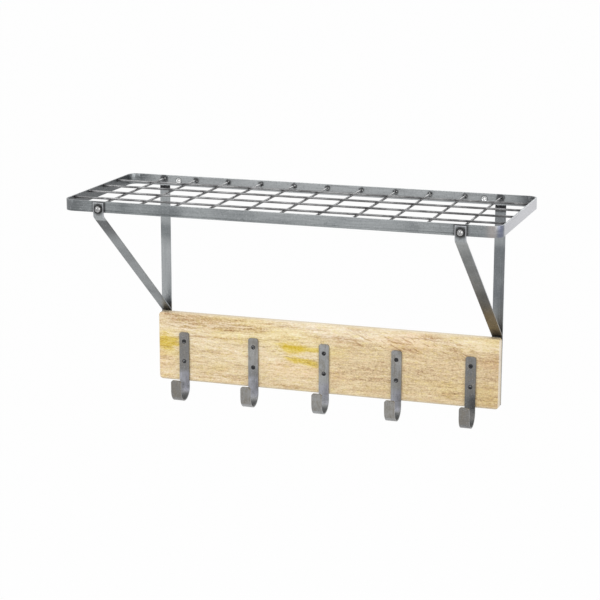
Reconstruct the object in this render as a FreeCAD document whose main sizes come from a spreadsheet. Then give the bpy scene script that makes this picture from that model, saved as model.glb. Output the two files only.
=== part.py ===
import FreeCAD, Part
import os
import Sketcher
from FreeCAD import Placement, Rotation, Vector

os.makedirs("parts", exist_ok=True)
doc = FreeCAD.newDocument("wall_shelf")
sheet = doc.addObject("Spreadsheet::Sheet", "sizes")

# Driving sizes in millimetres
SIZES = (
    ("shelf_width", 800, "band, outside, side to side"),
    ("shelf_depth", 306, "band, outside, front to back"),
    ("bar_height", 20, "band bar, top to bottom edge"),
    ("bar_thickness", 3, "band bar"),
    ("band_corner_radius", 20, "band corners, outside"),
    ("wall_hole_inset", 100, "wall holes from the band's ends"),
    ("wall_hole_drop", 10, "wall holes below the band's top edge"),
    ("wall_hole_diameter", 4.5, "wall holes"),
    ("wall_sink_diameter", 10.5, "countersink mouth of the wall holes"),
    ("wall_sink_depth", 2, "countersink depth of the wall holes"),
    ("wire_diameter", 4, "all wires"),
    ("wire_gap", 0.3, "between long and cross wires where they pass"),
    ("long_wire_count", 4, "wires along the shelf"),
    ("long_wire_front", 46, "first long wire behind the band's front face"),
    ("long_wire_rear", 71, "last long wire before the band's rear face"),
    ("long_wire_drop", 3, "long wires below the band's top edge"),
    ("cross_wire_count", 11, "wires from front to back"),
    ("side_inset", 70, "uprights, braces and outer cross wires from the band's ends"),
    ("upright_width", 20, "uprights, side to side"),
    ("upright_thickness", 3, "uprights, front to back"),
    ("upright_top_drop", 2, "uprights below the band's top edge"),
    ("upright_foot_rise", 4, "uprights end above the board's bottom edge"),
    ("brace_width", 20, "braces, side to side"),
    ("brace_thickness", 3, "brace bar"),
    ("brace_top_drop", 2, "brace tabs below the band's top edge"),
    ("brace_bend_drop", 28, "brace bends below the band's top edge"),
    ("brace_bend_radius", 5, "inside of the brace bends"),
    ("brace_foot_gap", 0.5, "brace feet above the board"),
    ("bolt_drop", 13.5, "bolts below the band's top edge"),
    ("bolt_diameter", 5, "bolt shanks"),
    ("bolt_clearance", 0.4, "bolt holes over the bolt shanks"),
    ("bolt_head_diameter", 11, "bolt heads"),
    ("bolt_head_height", 4.2, "bolt heads"),
    ("bolt_tip", 1.5, "bolt ends past the nuts"),
    ("washer_diameter", 16, "black rings under the bolt heads"),
    ("washer_thickness", 2, "black rings"),
    ("nut_flats", 8, "nuts across the flats"),
    ("nut_height", 4, "nuts"),
    ("board_height", 135, "board, top to bottom"),
    ("board_thickness", 18, "board, front to back"),
    ("board_drop", 268, "board below the band's top edge"),
    ("board_corner_radius", 7.5, "board corners, seen from the front"),
    ("board_edge_radius", 2.5, "eased edges of the board"),
    ("hook_count", 5, "hooks on the board"),
    ("hook_inset", 54, "outer hooks from the board's ends"),
    ("hook_width", 20, "hooks, side to side"),
    ("hook_thickness", 3, "hook bar"),
    ("hook_top_drop", 37, "hooks below the board's top edge"),
    ("hook_length", 130.5, "hooks, top to bottom"),
    ("hook_throat", 42, "inside width of the hook bends"),
    ("hook_bend_flat", 1, "flat left at the bottom of the hook bends"),
    ("hook_lip", 45, "hook lips above the hooks' lowest point"),
    ("hook_top_radius", 5, "rounded top corners of the hooks"),
    ("hook_lip_radius", 5, "rounded top corners of the hook lips"),
    ("screw_first", 18, "upper hook screws below the hooks' tops"),
    ("screw_pitch", 40, "between the two screws of a hook"),
    ("screw_diameter", 4, "screw shanks"),
    ("screw_clearance", 0.3, "screw holes over the screw shanks"),
    ("screw_reach", 12, "screws into the board"),
    ("screw_head_diameter", 8.5, "hook screw heads"),
    ("screw_head_height", 1.2, "hook screw heads"),
    ("back_screw_inset", 30, "rear screws from the board's top and bottom edges"),
    ("back_head_diameter", 7.6, "rear screw heads"),
    ("back_head_depth", 1.8, "rear screw heads, sunk in the uprights"),
)

# Places and sizes that follow from the driving sizes
FORMULAS = (
    ("band_top", "wall_hole_drop"),
    ("band_bottom", "band_top - bar_height"),
    ("half_width", "shelf_width / 2"),
    ("inner_half", "half_width - bar_thickness"),
    ("front_face", "0 - shelf_depth"),
    ("front_inner", "front_face + bar_thickness"),
    ("rear_inner", "0 - bar_thickness"),
    ("band_inner_radius", "band_corner_radius - bar_thickness"),
    ("wall_hole_spacing", "shelf_width - 2 * wall_hole_inset"),
    ("side_spacing", "shelf_width - 2 * side_inset"),
    ("long_wire_z", "band_top - long_wire_drop"),
    ("long_wire_run", "shelf_depth - long_wire_front - long_wire_rear"),
    ("long_wire_pitch", "long_wire_run / (long_wire_count - 1)"),
    ("cross_wire_pitch", "side_spacing / (cross_wire_count - 1)"),
    ("cross_wire_z", "long_wire_z - wire_diameter - wire_gap"),
    ("board_length", "side_spacing + upright_width"),
    ("hook_pitch", "(board_length - 2 * hook_inset) / (hook_count - 1)"),
    ("board_top", "band_top - board_drop"),
    ("board_bottom", "board_top - board_height"),
    ("board_front", "0 - board_thickness"),
    ("upright_bottom", "board_bottom + upright_foot_rise"),
    ("upright_length", "band_top - upright_top_drop - upright_bottom"),
    ("tab_front", "front_face - brace_thickness"),
    ("tab_top", "band_top - brace_top_drop"),
    ("bend_z", "band_top - brace_bend_drop"),
    ("foot_bottom", "board_top + brace_foot_gap"),
    ("brace_run", "shelf_depth + brace_thickness"),
    ("brace_slant", "atan((bend_z - foot_bottom) / brace_run)"),
    ("foot_top", "foot_bottom + brace_thickness / cos(brace_slant)"),
    ("inner_bend_z", "foot_top + shelf_depth * tan(brace_slant)"),
    ("outer_bend_radius", "brace_bend_radius + brace_thickness"),
    ("bolt_z", "band_top - bolt_drop"),
    ("bolt_hole_diameter", "bolt_diameter + bolt_clearance"),
    ("washer_front", "tab_front - washer_thickness"),
    ("bolt_end", "front_inner + nut_height + bolt_tip"),
    ("nut_radius", "nut_flats / 2 / cos(30 deg)"),
    ("hook_top", "board_top - hook_top_drop"),
    ("hook_bottom", "hook_top - hook_length"),
    ("hook_floor", "hook_bottom + hook_thickness"),
    ("hook_plate", "board_front - hook_thickness"),
    ("lip_inner", "hook_plate - hook_throat"),
    ("lip_outer", "lip_inner - hook_thickness"),
    ("lip_top", "hook_bottom + hook_lip"),
    ("throat_radius", "(hook_throat - hook_bend_flat) / 2"),
    ("hook_outer_radius", "throat_radius + hook_thickness"),
    ("screw_hole_diameter", "screw_diameter + screw_clearance"),
    ("screw_length", "screw_reach + hook_thickness"),
    ("hole_depth", "screw_reach + screw_clearance"),
    ("back_screw_length", "upright_thickness - back_head_depth + screw_reach"),
)


def fill_sheet():
    """Write every size to the sheet as an alias with its meaning."""
    for row, (alias, size, meaning) in enumerate(SIZES, start=1):
        sheet.set("A%d" % row, meaning)
        sheet.set("B%d" % row, str(size))
        sheet.setAlias("B%d" % row, alias)
    for row, (alias, formula) in enumerate(FORMULAS, start=len(SIZES) + 1):
        sheet.set("A%d" % row, "follows from other sizes")
        sheet.set("B%d" % row, "=" + formula)
        sheet.setAlias("B%d" % row, alias)
    doc.recompute()


def size(alias):
    """Return the number that the sheet holds under an alias."""
    found = sheet.get(alias)
    return float(getattr(found, "Value", found))


def bind(item, place, formula):
    """Drive one property of an item from the sheet."""
    words = []
    word = ""
    for letter in formula + " ":
        if letter.isalnum() or letter == "_":
            word += letter
            continue
        if word:
            words.append("sizes." + word if word in KNOWN else word)
            word = ""
        words.append(letter)
    item.setExpression(place, "".join(words).strip())


KNOWN = {row[0] for row in SIZES} | {row[0] for row in FORMULAS}
AXIS_TURNS = {
    "X": Rotation(Vector(0, 1, 0), 90),
    "Y": Rotation(Vector(1, 0, 0), -90),
    "Z": Rotation(),
}


def put(item, place, turn=None):
    """Place an item by three formulas, and turn it if asked."""
    item.Placement = Placement(Vector(), turn or Rotation())
    for letter, formula in zip("xyz", place):
        bind(item, "Placement.Base." + letter, formula)


def cylinder(name, diameter, length, place, axis):
    """Make a round bar whose first end is at the given place."""
    item = doc.addObject("Part::Cylinder", name)
    bind(item, "Radius", "(%s) / 2" % diameter)
    bind(item, "Height", length)
    put(item, place, AXIS_TURNS[axis])
    return item


def cone(name, first_diameter, last_diameter, length, place, axis):
    """Make a tapered round bar whose first end is at the given place."""
    item = doc.addObject("Part::Cone", name)
    bind(item, "Radius1", "(%s) / 2" % first_diameter)
    bind(item, "Radius2", "(%s) / 2" % last_diameter)
    bind(item, "Height", length)
    put(item, place, AXIS_TURNS[axis])
    return item


def box(name, lengths, place):
    """Make a block from its low corner."""
    item = doc.addObject("Part::Box", name)
    for side, formula in zip(("Length", "Width", "Height"), lengths):
        bind(item, side, formula)
    put(item, place)
    return item


def dome(name, diameter, height, place, turn):
    """Make a cap of a sphere, flat face at the given place."""
    item = doc.addObject("Part::Sphere", name)
    ball = "((%s)^2 / 4 + (%s)^2) / (2 * (%s))" % (diameter, height, height)
    bind(item, "Radius", ball)
    bind(item, "Angle1", "asin(1 - (%s) / (%s))" % (height, ball))
    item.Angle2 = 90
    put(item, place, turn)
    return item


def joined(name, items):
    """Fuse several items into one solid."""
    item = doc.addObject("Part::MultiFuse", name)
    item.Shapes = items
    return item


def drilled(name, base, tools):
    """Cut one or more tools out of a base."""
    item = doc.addObject("Part::Cut", name)
    item.Base = base
    item.Tool = tools[0] if len(tools) == 1 else joined(name + "_tools", tools)
    return item


def grouped(name, items):
    """Keep several solids together without joining them."""
    item = doc.addObject("Part::Compound", name)
    item.Links = items
    return item


def body_plane(body, role):
    """Return an origin plane of a body by its role."""
    for plane in body.Origin.OriginFeatures:
        if plane.Role == role:
            return plane
    raise ValueError("no plane " + role)


def outline(body, name, role, corners):
    """Draw a closed outline whose corners the sheet drives."""
    sketch = body.newObject("Sketcher::SketchObject", name)
    sketch.AttachmentSupport = [(body_plane(body, role), "")]
    sketch.MapMode = "FlatFace"
    points = []
    for pair in corners:
        points.append(Vector(*[corner_value(formula) for formula in pair], 0))
    last = len(points) - 1
    for at, start in enumerate(points):
        stop = points[0] if at == last else points[at + 1]
        sketch.addGeometry(Part.LineSegment(start, stop), False)
    for at in range(len(points)):
        following = 0 if at == last else at + 1
        sketch.addConstraint(Sketcher.Constraint("Coincident", at, 2, following, 1))
    for at, (pair, point) in enumerate(zip(corners, points)):
        for kind, formula, value in zip(("DistanceX", "DistanceY"), pair, point):
            index = sketch.addConstraint(Sketcher.Constraint(kind, -1, 1, at, 1, value))
            bind(sketch, "Constraints[%d]" % index, formula)
    return sketch


def corner_value(formula):
    """Work out a plus or minus alias, or zero."""
    if formula == "0":
        return 0.0
    if formula.startswith("-"):
        return -size(formula[1:])
    return size(formula)


def pad(body, sketch, length, both_ways):
    """Pad a sketch by a formula, up from it or half to each side."""
    item = body.newObject("PartDesign::Pad", sketch.Name + "_pad")
    item.Profile = sketch
    item.SideType = "Symmetric" if both_ways else "One side"
    bind(item, "Length", length)
    doc.recompute()
    return item


def straight_edges(feature, along, wanted):
    """Name the straight edges along an axis that a test on their middle accepts."""
    names = []
    for number, edge in enumerate(feature.Shape.Edges, start=1):
        if edge.Curve.TypeId != "Part::GeomLine":
            continue
        ends = edge.Vertexes[-1].Point - edge.Vertexes[0].Point
        if abs(abs(ends.normalize().dot(along)) - 1) > 1e-6:
            continue
        if wanted(edge.CenterOfMass):
            names.append("Edge%d" % number)
    return names


def rounded(body, feature, names, radius):
    """Fillet the named edges of a feature by a formula."""
    item = body.newObject("PartDesign::Fillet", feature.Name + "_round")
    item.Base = (feature, names)
    bind(item, "Radius", radius)
    doc.recompute()
    return item


def near(first, second):
    return abs(first - second) < 1e-4


ALONG_X = Vector(1, 0, 0)
ALONG_Y = Vector(0, 1, 0)
ALONG_Z = Vector(0, 0, 1)
SIDES = (("left", "-side_spacing / 2"), ("right", "side_spacing / 2"))
FACE_FRONT = Rotation(Vector(1, 0, 0), 90)
finished = []


def finish(item, label):
    """Label a finished piece and keep it for writing."""
    item.Label = label
    finished.append(item)


def rectangle(low, high):
    """Corners of a rectangle from its low and high corner formulas."""
    return ((low[0], low[1]), (high[0], low[1]), (high[0], high[1]), (low[0], high[1]))


def make_band():
    """Flat bar on edge, bent to a rectangle, with its wall and bolt holes."""
    body = doc.addObject("PartDesign::Body", "band_body")
    outside = outline(
        body, "band_outside", "XY_Plane",
        rectangle(("-half_width", "front_face"), ("half_width", "0")),
    )
    pad(body, outside, "bar_height", False)
    inside = outline(
        body, "band_inside", "XY_Plane",
        rectangle(("-inner_half", "front_inner"), ("inner_half", "rear_inner")),
    )
    ring = body.newObject("PartDesign::Pocket", "band_opening")
    ring.Profile = inside
    ring.Type = "ThroughAll"
    ring.Reversed = True
    doc.recompute()
    for wall, radius in (("inner_half", "band_inner_radius"), ("half_width", "band_corner_radius")):
        limit = size(wall)
        corners = straight_edges(ring, ALONG_Z, lambda middle: near(abs(middle.x), limit))
        ring = rounded(body, ring, corners, radius)
    put(body, ("0", "0", "band_bottom"))
    tools = []
    for side, x in (("left", "-wall_hole_spacing / 2"), ("right", "wall_hole_spacing / 2")):
        name = "wall_hole_" + side
        tools.append(cylinder(name, "wall_hole_diameter", "bar_thickness", (x, "rear_inner", "0"), "Y"))
        tools.append(cone(
            name + "_sink", "wall_sink_diameter", "wall_hole_diameter", "wall_sink_depth",
            (x, "rear_inner", "0"), "Y",
        ))
    for side, x in SIDES:
        place = (x, "front_face", "bolt_z")
        tools.append(cylinder("band_hole_" + side, "bolt_hole_diameter", "bar_thickness", place, "Y"))
    finish(drilled("band", body, tools), "shelf_band")


def make_wires():
    """Long wires over cross wires, welded end on to the band's inside."""
    for at in range(int(size("long_wire_count"))):
        y = "front_face + long_wire_front + %d * long_wire_pitch" % at
        label = "long_wire_%d" % (at + 1)
        wire = cylinder(label, "wire_diameter", "2 * inner_half", ("-inner_half", y, "long_wire_z"), "X")
        finish(wire, label)
    for at in range(int(size("cross_wire_count"))):
        x = "(%d - (cross_wire_count - 1) / 2) * cross_wire_pitch" % at
        label = "cross_wire_%02d" % (at + 1)
        length = "shelf_depth - 2 * bar_thickness"
        wire = cylinder(label, "wire_diameter", length, (x, "front_inner", "cross_wire_z"), "Y")
        finish(wire, label)


BACK_SCREW_HEIGHTS = (
    ("upper", "board_top - back_screw_inset"),
    ("lower", "board_bottom + back_screw_inset"),
)


def make_uprights():
    """Flat bars behind the rear run and the board, countersunk from behind."""
    for side, x in SIDES:
        name = "upright_" + side
        lengths = ("upright_width", "upright_thickness", "upright_length")
        bar = box(name + "_bar", lengths, (x + " - upright_width / 2", "0", "upright_bottom"))
        tools = []
        for level, z in BACK_SCREW_HEIGHTS:
            hole = "%s_%s_hole" % (name, level)
            tools.append(cylinder(hole, "screw_hole_diameter", "upright_thickness", (x, "0", z), "Y"))
            tools.append(cone(
                hole + "_sink", "screw_hole_diameter", "back_head_diameter + screw_clearance",
                "back_head_depth", (x, "upright_thickness - back_head_depth", z), "Y",
            ))
        finish(drilled(name, bar, tools), name)


def make_braces():
    """Tabs on the front run's outer face, bent back down to the uprights."""
    corners = (
        ("front_face", "tab_top"),
        ("tab_front", "tab_top"),
        ("tab_front", "bend_z"),
        ("0", "foot_bottom"),
        ("0", "foot_top"),
        ("front_face", "inner_bend_z"),
    )
    for side, x in SIDES:
        name = "brace_" + side
        body = doc.addObject("PartDesign::Body", name + "_body")
        profile = outline(body, name + "_profile", "YZ_Plane", corners)
        bar = pad(body, profile, "brace_width", True)
        inner = (size("front_face"), size("inner_bend_z"))
        outer = (size("tab_front"), size("bend_z"))
        for (y, z), radius in ((inner, "brace_bend_radius"), (outer, "outer_bend_radius")):
            bend = straight_edges(bar, ALONG_X, lambda middle: near(middle.y, y) and near(middle.z, z))
            bar = rounded(body, bar, bend, radius)
        put(body, (x, "0", "0"))
        hole = cylinder(name + "_hole", "bolt_hole_diameter", "brace_thickness", (x, "tab_front", "bolt_z"), "Y")
        finish(drilled(name, body, [hole]), name)


def make_brace_fasteners():
    """Dome bolts over thick rings, through tab and band into nuts."""
    bolts = []
    washers = []
    nuts = []
    for side, x in SIDES:
        name = "bolt_" + side
        shank = cylinder(
            name + "_shank", "bolt_diameter", "bolt_end - washer_front",
            (x, "washer_front", "bolt_z"), "Y",
        )
        head = dome(
            name + "_head", "bolt_head_diameter", "bolt_head_height",
            (x, "washer_front - (%s)" % DOME_DROP, "bolt_z"), FACE_FRONT,
        )
        bolts.append(joined(name, [shank, head]))
        name = "washer_" + side
        ring = cylinder(
            name + "_ring", "washer_diameter", "washer_thickness", (x, "washer_front", "bolt_z"), "Y",
        )
        bore = cylinder(
            name + "_bore", "bolt_hole_diameter", "washer_thickness", (x, "washer_front", "bolt_z"), "Y",
        )
        washers.append(drilled(name, ring, [bore]))
        name = "nut_" + side
        blank = doc.addObject("Part::Prism", name + "_blank")
        blank.Polygon = 6
        bind(blank, "Circumradius", "nut_radius")
        bind(blank, "Height", "nut_height")
        put(blank, (x, "front_inner", "bolt_z"), AXIS_TURNS["Y"])
        bore = cylinder(
            name + "_bore", "bolt_hole_diameter", "nut_height", (x, "front_inner", "bolt_z"), "Y",
        )
        nuts.append(drilled(name, blank, [bore]))
    finish(grouped("bolts", bolts), "brace_bolts")
    finish(grouped("washers", washers), "brace_washers")
    finish(grouped("nuts", nuts), "brace_nuts")


# A dome's ball centre lies behind its flat face by this much
DOME_DROP = "bolt_head_height / 2 - bolt_head_diameter^2 / (8 * bolt_head_height)"


def hook_middle(at):
    """Formula for the middle of a hook, counted from the left."""
    return "(%d - (hook_count - 1) / 2) * hook_pitch" % at


SCREW_HEIGHTS = ("hook_top - screw_first", "hook_top - screw_first - screw_pitch")


def make_board():
    """Wooden board with eased edges and holes for its screws."""
    body = doc.addObject("PartDesign::Body", "board_body")
    profile = outline(
        body, "board_profile", "YZ_Plane",
        rectangle(("board_front", "board_bottom"), ("0", "board_top")),
    )
    block = pad(body, profile, "board_length", True)
    corners = straight_edges(block, ALONG_Y, lambda middle: True)
    block = rounded(body, block, corners, "board_corner_radius")
    front = size("board_front")
    rims = []
    for number, edge in enumerate(block.Shape.Edges, start=1):
        middle = edge.CenterOfMass
        if near(middle.y, front) or near(middle.y, 0):
            rims.append("Edge%d" % number)
    rounded(body, block, rims, "board_edge_radius")
    tools = []
    for at in range(int(size("hook_count"))):
        for row, z in enumerate(SCREW_HEIGHTS):
            name = "board_hole_%d_%d" % (at + 1, row + 1)
            place = (hook_middle(at), "board_front", z)
            tools.append(cylinder(name, "screw_hole_diameter", "hole_depth", place, "Y"))
    for side, x in SIDES:
        for level, z in BACK_SCREW_HEIGHTS:
            name = "board_hole_%s_%s" % (side, level)
            tools.append(cylinder(name, "screw_hole_diameter", "hole_depth", (x, "0 - hole_depth", z), "Y"))
    finish(drilled("board", body, tools), "board")


def make_hooks():
    """Flat bar hooks, each with two screw holes in its plate."""
    corners = (
        ("board_front", "hook_top"),
        ("board_front", "hook_bottom"),
        ("lip_outer", "hook_bottom"),
        ("lip_outer", "lip_top"),
        ("lip_inner", "lip_top"),
        ("lip_inner", "hook_floor"),
        ("hook_plate", "hook_floor"),
        ("hook_plate", "hook_top"),
    )
    levels = (
        (ALONG_X, "hook_bottom", "hook_outer_radius"),
        (ALONG_X, "hook_floor", "throat_radius"),
        (ALONG_Y, "hook_top", "hook_top_radius"),
        (ALONG_Y, "lip_top", "hook_lip_radius"),
    )
    for at in range(int(size("hook_count"))):
        label = "hook_%d" % (at + 1)
        body = doc.addObject("PartDesign::Body", label + "_body")
        profile = outline(body, label + "_profile", "YZ_Plane", corners)
        bar = pad(body, profile, "hook_width", True)
        for along, level, radius in levels:
            height = size(level)
            edges = straight_edges(bar, along, lambda middle: near(middle.z, height))
            bar = rounded(body, bar, edges, radius)
        put(body, (hook_middle(at), "0", "0"))
        tools = []
        for row, z in enumerate(SCREW_HEIGHTS):
            name = "%s_hole_%d" % (label, row + 1)
            place = (hook_middle(at), "hook_plate", z)
            tools.append(cylinder(name, "screw_hole_diameter", "hook_thickness", place, "Y"))
        finish(drilled(label, body, tools), label)


def make_screws():
    """Low-headed screws in the hooks, sunk screws from behind."""
    screws = []
    for at in range(int(size("hook_count"))):
        for row, z in enumerate(SCREW_HEIGHTS):
            name = "hook_screw_%d_%d" % (at + 1, row + 1)
            x = hook_middle(at)
            shank = cylinder(name + "_shank", "screw_diameter", "screw_length", (x, "hook_plate", z), "Y")
            head = dome(
                name + "_head", "screw_head_diameter", "screw_head_height",
                (x, "hook_plate - (%s)" % SCREW_DOME_DROP, z), FACE_FRONT,
            )
            screws.append(joined(name, [shank, head]))
    finish(grouped("hook_screw_set", screws), "hook_screws")
    screws = []
    for side, x in SIDES:
        for level, z in BACK_SCREW_HEIGHTS:
            name = "back_screw_%s_%s" % (side, level)
            shank = cylinder(name + "_shank", "screw_diameter", "back_screw_length", (x, "0 - screw_reach", z), "Y")
            head = cone(
                name + "_head", "screw_diameter", "back_head_diameter", "back_head_depth",
                (x, "upright_thickness - back_head_depth", z), "Y",
            )
            screws.append(joined(name, [shank, head]))
    finish(grouped("back_screw_set", screws), "board_screws")


# The same for the hook screws' low heads
SCREW_DOME_DROP = "screw_head_height / 2 - screw_head_diameter^2 / (8 * screw_head_height)"


def check_everything():
    """Stop on a feature that failed or a shape that isn't sound."""
    for item in doc.Objects:
        if "Invalid" in item.State or "Error" in item.State:
            raise RuntimeError("failed feature " + item.Name)
    for item in finished:
        if item.Shape.isNull() or not item.Shape.isValid() or not item.Shape.Solids:
            raise RuntimeError("unsound shape " + item.Label)


def write_parts():
    """Write each finished piece to its own file."""
    for item in finished:
        item.Shape.exportStep("parts/%s.step" % item.Label)


fill_sheet()
make_band()
make_wires()
make_uprights()
make_braces()
make_brace_fasteners()
make_board()
make_hooks()
make_screws()
doc.recompute()
check_everything()
write_parts()
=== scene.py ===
import math
import random

import bmesh
import bpy
from bpy.props import FloatProperty, FloatVectorProperty, IntProperty, PointerProperty
from mathutils import Matrix, Vector


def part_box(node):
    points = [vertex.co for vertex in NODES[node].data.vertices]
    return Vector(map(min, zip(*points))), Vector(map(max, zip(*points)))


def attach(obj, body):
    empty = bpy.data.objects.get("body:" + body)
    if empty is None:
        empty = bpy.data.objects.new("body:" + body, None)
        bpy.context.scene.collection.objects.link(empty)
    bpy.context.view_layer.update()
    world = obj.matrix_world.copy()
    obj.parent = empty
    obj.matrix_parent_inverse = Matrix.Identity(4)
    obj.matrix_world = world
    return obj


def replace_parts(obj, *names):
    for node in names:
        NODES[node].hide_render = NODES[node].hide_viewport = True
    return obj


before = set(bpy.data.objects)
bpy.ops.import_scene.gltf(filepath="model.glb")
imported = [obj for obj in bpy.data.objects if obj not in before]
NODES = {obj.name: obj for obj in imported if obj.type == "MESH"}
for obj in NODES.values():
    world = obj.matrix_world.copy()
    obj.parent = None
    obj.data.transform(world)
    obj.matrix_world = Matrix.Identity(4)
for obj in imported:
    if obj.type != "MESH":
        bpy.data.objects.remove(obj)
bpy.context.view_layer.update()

bl_info = {
    "name": "Wall shelf with hooks",
    "version": (1, 0, 0),
    "blender": (4, 5, 0),
    "location": "View3D > Sidebar > Shelf",
    "description": "Finishes, welds, fixings and stage for a wall shelf with hooks",
    "category": "Object",
}

BODY = "root"
UPRIGHTS = ("upright_left", "upright_right")
BRACES = ("brace_left", "brace_right")
LONG_WIRES = sorted(name for name in NODES if name.startswith("long_wire_"))
CROSS_WIRES = sorted(name for name in NODES if name.startswith("cross_wire_"))
HOOKS = sorted(name for name in NODES if name.startswith("hook_") and name != "hook_screws")


def middle(node):
    """Middle of a node's box."""
    low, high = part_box(node)
    return (low + high) / 2


# Places that the finishes and the small pieces are set out from
BAND_LOW, BAND_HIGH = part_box("shelf_band")
BAND_CORNER = 0.020
WALL_HOLE_X = 0.300
FACE_DEPTH = 0.0004  # how deep a face's own marks go
BOARD_LOW, BOARD_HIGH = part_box("board")
FIRST_LONG = middle(LONG_WIRES[0])
FIRST_CROSS = middle(CROSS_WIRES[0])
LONG_PITCH = middle(LONG_WIRES[1]).y - FIRST_LONG.y
CROSS_PITCH = middle(CROSS_WIRES[1]).x - FIRST_CROSS.x
WIRE_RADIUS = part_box(LONG_WIRES[0])[1].z - FIRST_LONG.z
LONG_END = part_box(LONG_WIRES[0])[1].x
CROSS_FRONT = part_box(CROSS_WIRES[0])[0].y
CROSS_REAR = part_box(CROSS_WIRES[0])[1].y
REAR_FACE = CROSS_REAR - 0.0015  # just before the rear run
BRACE_X = middle("brace_right").x
BRACE_LOW, BRACE_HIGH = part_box("brace_right")
HALF_BAR = (BRACE_HIGH.x - BRACE_LOW.x) / 2
UP_BRACE = (0, -0.787, 0.617)
BOLT_Z = middle("brace_bolts").z
HOOK_LOW, HOOK_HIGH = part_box(HOOKS[0])
HOOK_BAR = 0.003
BEND_RADIUS = (HOOK_HIGH.y - HOOK_LOW.y) / 2
SCREW_LOW, SCREW_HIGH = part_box("hook_screws")
OUTER_HOOK_X = middle(HOOKS[-1]).x
HOOK_PITCH = OUTER_HOOK_X - middle(HOOKS[-2]).x
SCREW_HEAD = SCREW_HIGH.x - OUTER_HOOK_X
SCREW_ROWS = (SCREW_HIGH.z - SCREW_HEAD, SCREW_LOW.z + SCREW_HEAD)


def colour(name, words, value):
    return FloatVectorProperty(
        name=name, description=words, default=value, subtype="COLOR", size=3, min=0.0, max=1.0,
    )


def length(name, words, value):
    return FloatProperty(name=name, description=words, default=value, unit="LENGTH", min=0.0)


def share(name, words, value):
    return FloatProperty(name=name, description=words, default=value, min=0.0, max=1.0)


def angle(name, words, degrees):
    return FloatProperty(name=name, description=words, default=math.radians(degrees), subtype="ANGLE")


class ShelfSteel(bpy.types.PropertyGroup):
    bar_dark: colour("Bar, dark", "Darker patches of the bars", (0.170, 0.186, 0.194))
    bar_light: colour("Bar, light", "Lighter patches of the bars", (0.330, 0.350, 0.356))
    bar_pale: colour("Bar, pale", "Palest runs of the bars", (0.440, 0.460, 0.468))
    # Painted highlight: laid on the right run's outer face, the rims of the brace tabs and the pale brush
    # specks
    bar_painted_highlight: colour("Bar, right end", "Pale outer face of the right run", (0.600, 0.605, 0.635))
    bar_shade: colour("Bar, shaded", "Dull runs of the bars", (0.120, 0.128, 0.134))
    hook_dark: colour("Hook, dark", "Darker patches of the hooks", (0.225, 0.219, 0.212))
    hook_light: colour("Hook, light", "Lighter patches of the hooks", (0.365, 0.356, 0.341))
    wire_dark: colour("Wire, dark", "Darker stretches of the wires", (0.098, 0.098, 0.100))
    wire_light: colour("Wire, light", "Lighter stretches of the wires", (0.240, 0.241, 0.244))
    # Bare metal of the countersinks and scuffs; also painted highlight on the weld tops and towards the
    # rear of the wires
    bare_and_highlight: colour("Bare steel", "Freshly cut metal", (0.900, 0.910, 0.910))
    # Bottom of the brush lines; also painted shade in the rear right corner and painted shadow round the
    # wall holes
    brush_line_and_shade: colour("Brush lines", "Bottom of the brush marks", (0.060, 0.063, 0.066))
    burn: colour("Weld burn", "Scale left by welding", (0.018, 0.017, 0.019))
    # Grime on the weld metal and darker stretches of the braces; also painted shade and shadow round the
    # brace tabs, inside the wall holes and on the uprights beside the board
    grime_and_painted_shade: colour("Grime", "Dark dust in the corners", (0.035, 0.034, 0.033))
    cool_tint: colour("Cool tint", "Blue heat tint", (0.165, 0.180, 0.275))
    warm_tint: colour("Warm tint", "Straw heat tint", (0.560, 0.480, 0.440))
    # Bluish tint; on the hooks' lower plates and upper inner bends also painted light
    hook_cool_and_painted_light: colour("Hook, cool", "Bluish steel above the hook bends", (0.420, 0.425, 0.475))
    hook_warm: colour("Hook, warm", "Brownish steel of the plates and the lips", (0.225, 0.205, 0.172))
    rust: colour("Rust", "Brown film near the brace feet", (0.200, 0.150, 0.070))
    edge_ease: length("Eased edges", "Softening of the bars' cut edges", 0.00035)
    bead: length("Weld bead", "Leg of a weld bead", 0.0026)


class ShelfWood(bpy.types.PropertyGroup):
    fleck: colour("Flecks", "Darkest flecks", (0.300, 0.175, 0.080))
    brown: colour("Brown grain", "Dark grain", (0.545, 0.398, 0.238))
    cream: colour("Cream", "Ground colour", (0.748, 0.610, 0.378))
    pale: colour("Pale grain", "Light grain", (0.845, 0.728, 0.535))
    white: colour("Palest grain", "Lightest grain", (0.925, 0.845, 0.705))
    stain: colour("Stain", "What the yellow stains let through", (0.865, 0.780, 0.155))
    smudge: colour("Smudge", "What the brown smudges let through", (0.660, 0.520, 0.420))
    rosy: colour("Rosy tinge", "What the rosy areas let through", (1.000, 0.930, 0.880))
    straw: colour("Straw tinge", "What the straw areas let through", (0.990, 0.972, 0.760))
    # Sanded end grain, painted paler as a highlight on the rounded ends
    end_grain_and_highlight: colour("End grain", "Sanded ends of the board", (0.790, 0.735, 0.645))
    # Painted shade along the board's top and bottom edges and towards the rear of its ends
    painted_edge_shade: colour("Handled edges", "Greyed wood along the edges", (0.540, 0.480, 0.375))
    warp: length("Grain warp", "How far the grain wanders up and down", 0.010)
    corner: length("Corners", "Rounded corners of the board's face", 0.0075)
    edge: length("Edges", "Eased edges of the board", 0.0025)


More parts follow.
